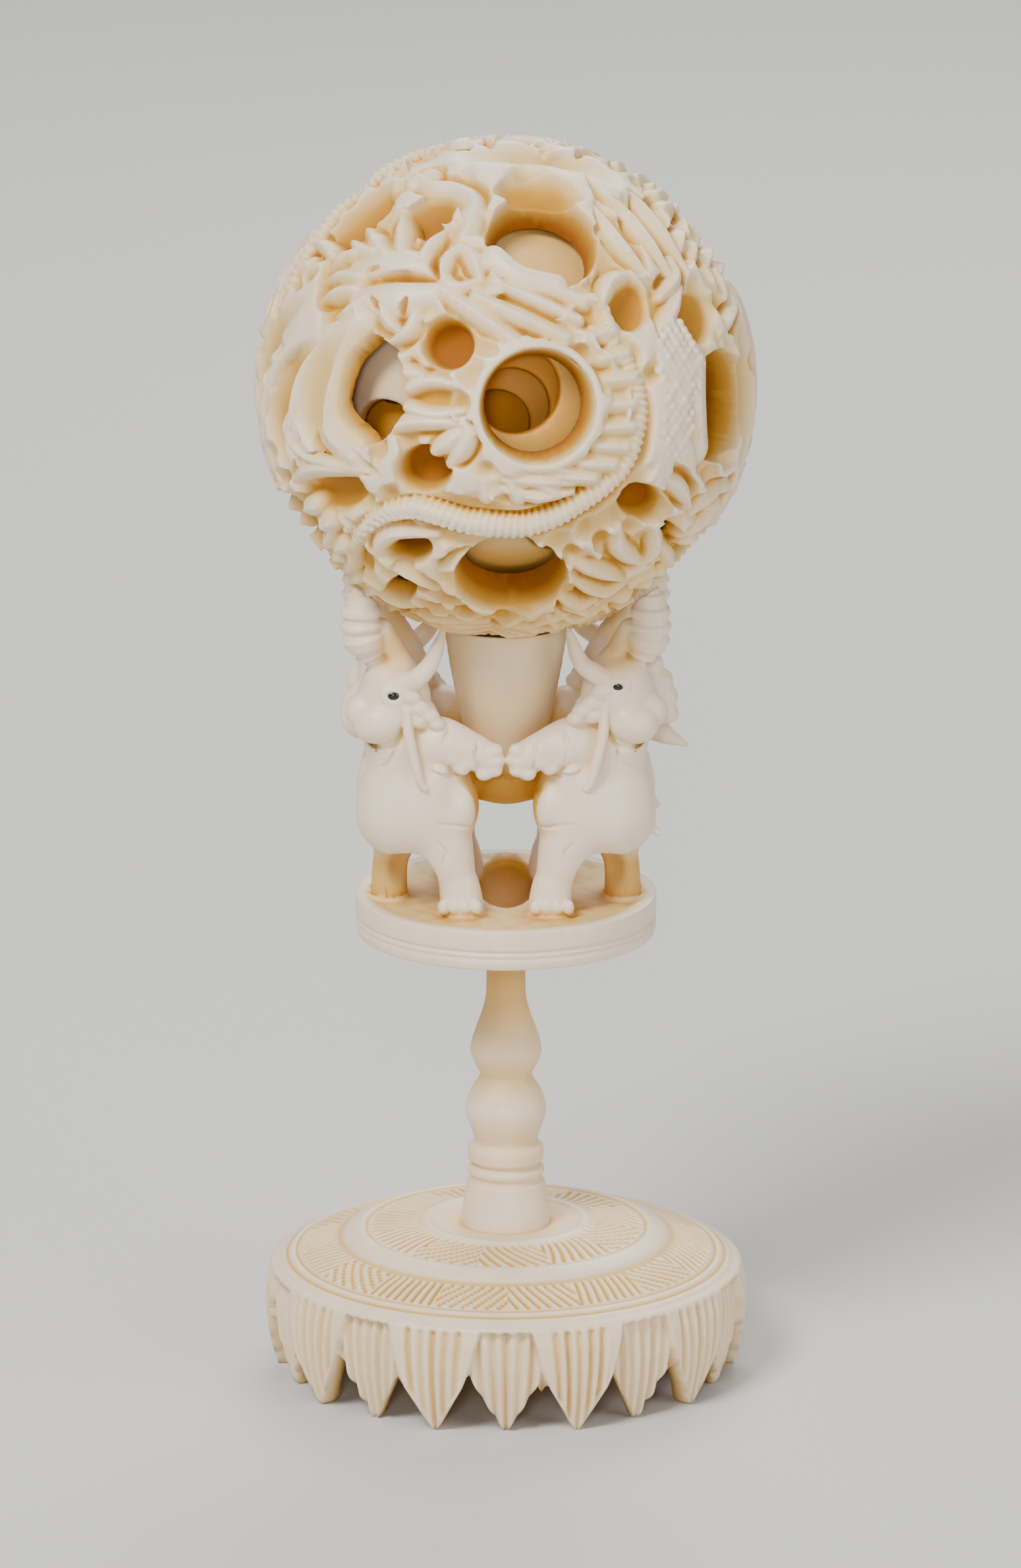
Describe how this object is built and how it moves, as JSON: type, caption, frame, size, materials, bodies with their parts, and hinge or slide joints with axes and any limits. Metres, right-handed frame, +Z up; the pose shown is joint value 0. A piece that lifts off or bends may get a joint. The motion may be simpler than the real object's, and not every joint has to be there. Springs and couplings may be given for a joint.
{
  "type": "ivory puzzle ball on an elephant stand",
  "caption": "Openwork ball carved with dragons, holding loose balls one inside the other, on a stand of rearing elephants over a turned stem and a domed foot.",
  "frame": {"origin": "on the ground under the middle of the round foot", "axes": "+Z up along the axis of the stem, +Y away from the front, +X to the right seen from the front"},
  "size_m": [0.0554, 0.054, 0.14],
  "materials": {
    "ivory": "polished ivory, cream on the ridges and honey brown in the hollows",
    "inner_ivory": "smooth ivory, shaded honey brown",
    "eye_inlay": "small glossy black inlays"
  },
  "bodies": {
    "root": {"foot": "ivory", "stem": "ivory", "elephant_stand": "ivory", "ball_outer": "ivory", "ball_second": "inner_ivory", "ball_third": "inner_ivory", "ball_fourth": "inner_ivory", "ball_core": "inner_ivory"}
  },
  "joints": []
}
